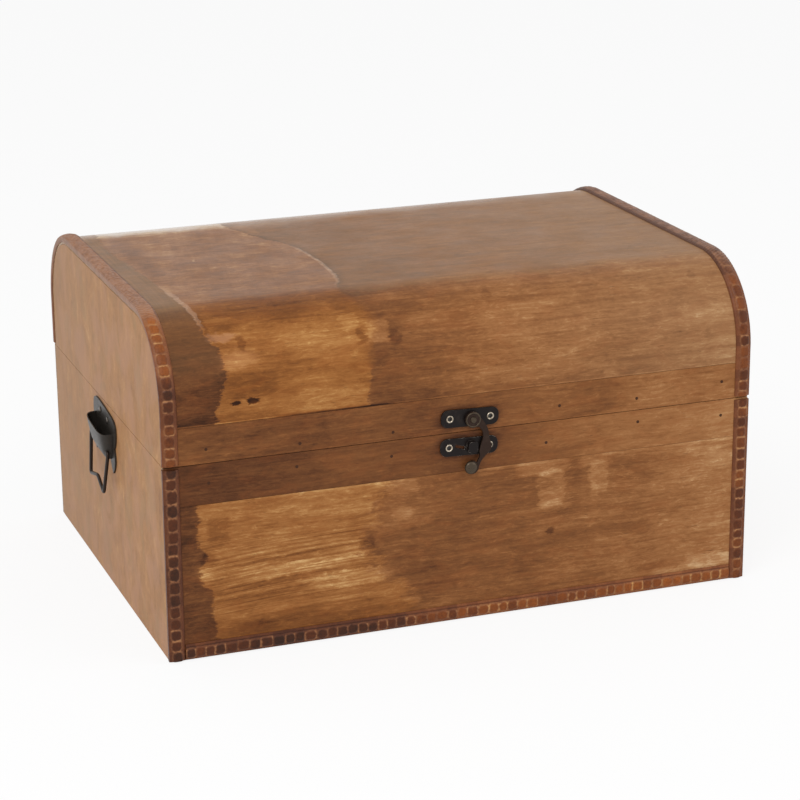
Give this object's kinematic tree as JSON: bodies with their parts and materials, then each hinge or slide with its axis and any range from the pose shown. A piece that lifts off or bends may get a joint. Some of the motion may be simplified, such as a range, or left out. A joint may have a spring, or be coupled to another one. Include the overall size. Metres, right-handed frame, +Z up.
{
  "type": "wooden trunk",
  "caption": "Wooden trunk with a round-shouldered hinged lid, leather edging, a swing-hook latch and bail handles on its ends.",
  "frame": {"origin": "middle of the underside, where the box rests", "axes": "+X along the front from left to right, -Y out of the front face, +Z up"},
  "size_m": [0.3672, 0.2672, 0.192],
  "materials": {
    "front_wood": "brown stained and varnished softwood, mottled and worn, satin",
    "lid_wood": "brown varnished bent sheet, greyish sheen on top, peeled patches",
    "end_wood": "pale tan wood with faint upright streaks, satin",
    "inner_wood": "bare pale wood, matt",
    "leather_edging": "reddish brown grained leather in raised scales with tan margins",
    "latch_iron": "worn black japanned iron, glossy with bright edges",
    "latch_bronze": "black lacquer worn to bronze on the hook",
    "handle_iron": "black japanned pressed iron with grey wear",
    "handle_wire": "dark bent wire with brown wear",
    "hinge_metal": "dark aged brass-coloured steel",
    "screw_steel": "worn steel screw heads"
  },
  "bodies": {
    "base": {"base_end_left": "end_wood", "base_end_right": "end_wood", "base_bottom": "inner_wood", "base_front_panel": "front_wood", "base_front_rail": "front_wood", "base_front_batten": "inner_wood", "base_back_panel": "front_wood", "base_back_rail": "front_wood", "base_back_batten": "inner_wood", "corner_trim_left": "leather_edging", "corner_trim_right": "leather_edging", "bottom_trim": "leather_edging", "latch_lower_plate": "latch_iron", "latch_lower_screw_left": "screw_steel", "latch_lower_screw_right": "screw_steel", "handle_plate_left": "handle_iron", "handle_screw_left_a": "screw_steel", "handle_screw_left_b": "screw_steel", "handle_plate_right": "handle_iron", "handle_screw_right_a": "screw_steel", "handle_screw_right_b": "screw_steel", "hinge_base_leaf_left": "hinge_metal", "hinge_pin_left": "hinge_metal", "hinge_base_screw_left_a": "screw_steel", "hinge_base_screw_left_b": "screw_steel", "hinge_base_leaf_right": "hinge_metal", "hinge_pin_right": "hinge_metal", "hinge_base_screw_right_a": "screw_steel", "hinge_base_screw_right_b": "screw_steel"},
    "lid": {"lid_end_left": "end_wood", "lid_end_right": "end_wood", "lid_sheet": "lid_wood", "lid_front_rail": "front_wood", "lid_front_batten": "inner_wood", "lid_back_rail": "front_wood", "lid_back_batten": "inner_wood", "lid_trim_left": "leather_edging", "lid_trim_right": "leather_edging", "latch_upper_plate": "latch_iron", "latch_rivet": "latch_bronze", "latch_upper_screw_left": "screw_steel", "latch_upper_screw_right": "screw_steel", "hinge_lid_leaf_left": "hinge_metal", "hinge_lid_screw_left_a": "screw_steel", "hinge_lid_screw_left_b": "screw_steel", "hinge_lid_leaf_right": "hinge_metal", "hinge_lid_screw_right_a": "screw_steel", "hinge_lid_screw_right_b": "screw_steel"},
    "latch_arm": {"latch_hook": "latch_bronze"},
    "left_bail": {"handle_bail_left": "handle_wire"},
    "right_bail": {"handle_bail_right": "handle_wire"}
  },
  "joints": [
    {"name": "lid_hinge", "type": "hinge", "parent": "base", "child": "lid", "pos_m": [0, 0.1315, 0.11215], "axis": [-1, 0, 0], "range_deg": [0, 180]},
    {"name": "latch_arm_pivot", "type": "hinge", "parent": "lid", "child": "latch_arm", "pos_m": [0.00242, -0.1317, 0.11946], "axis": [0, -1, 0], "range_deg": [0, 180]},
    {"name": "left_bail_swing", "type": "hinge", "parent": "base", "child": "left_bail", "pos_m": [-0.1791, 0, 0.0885], "axis": [0, 0.9962, 0.0872], "range_deg": [-10, 150]},
    {"name": "right_bail_swing", "type": "hinge", "parent": "base", "child": "right_bail", "pos_m": [0.1791, 0, 0.0885], "axis": [0, -1, 0], "range_deg": [-10, 150]}
  ]
}
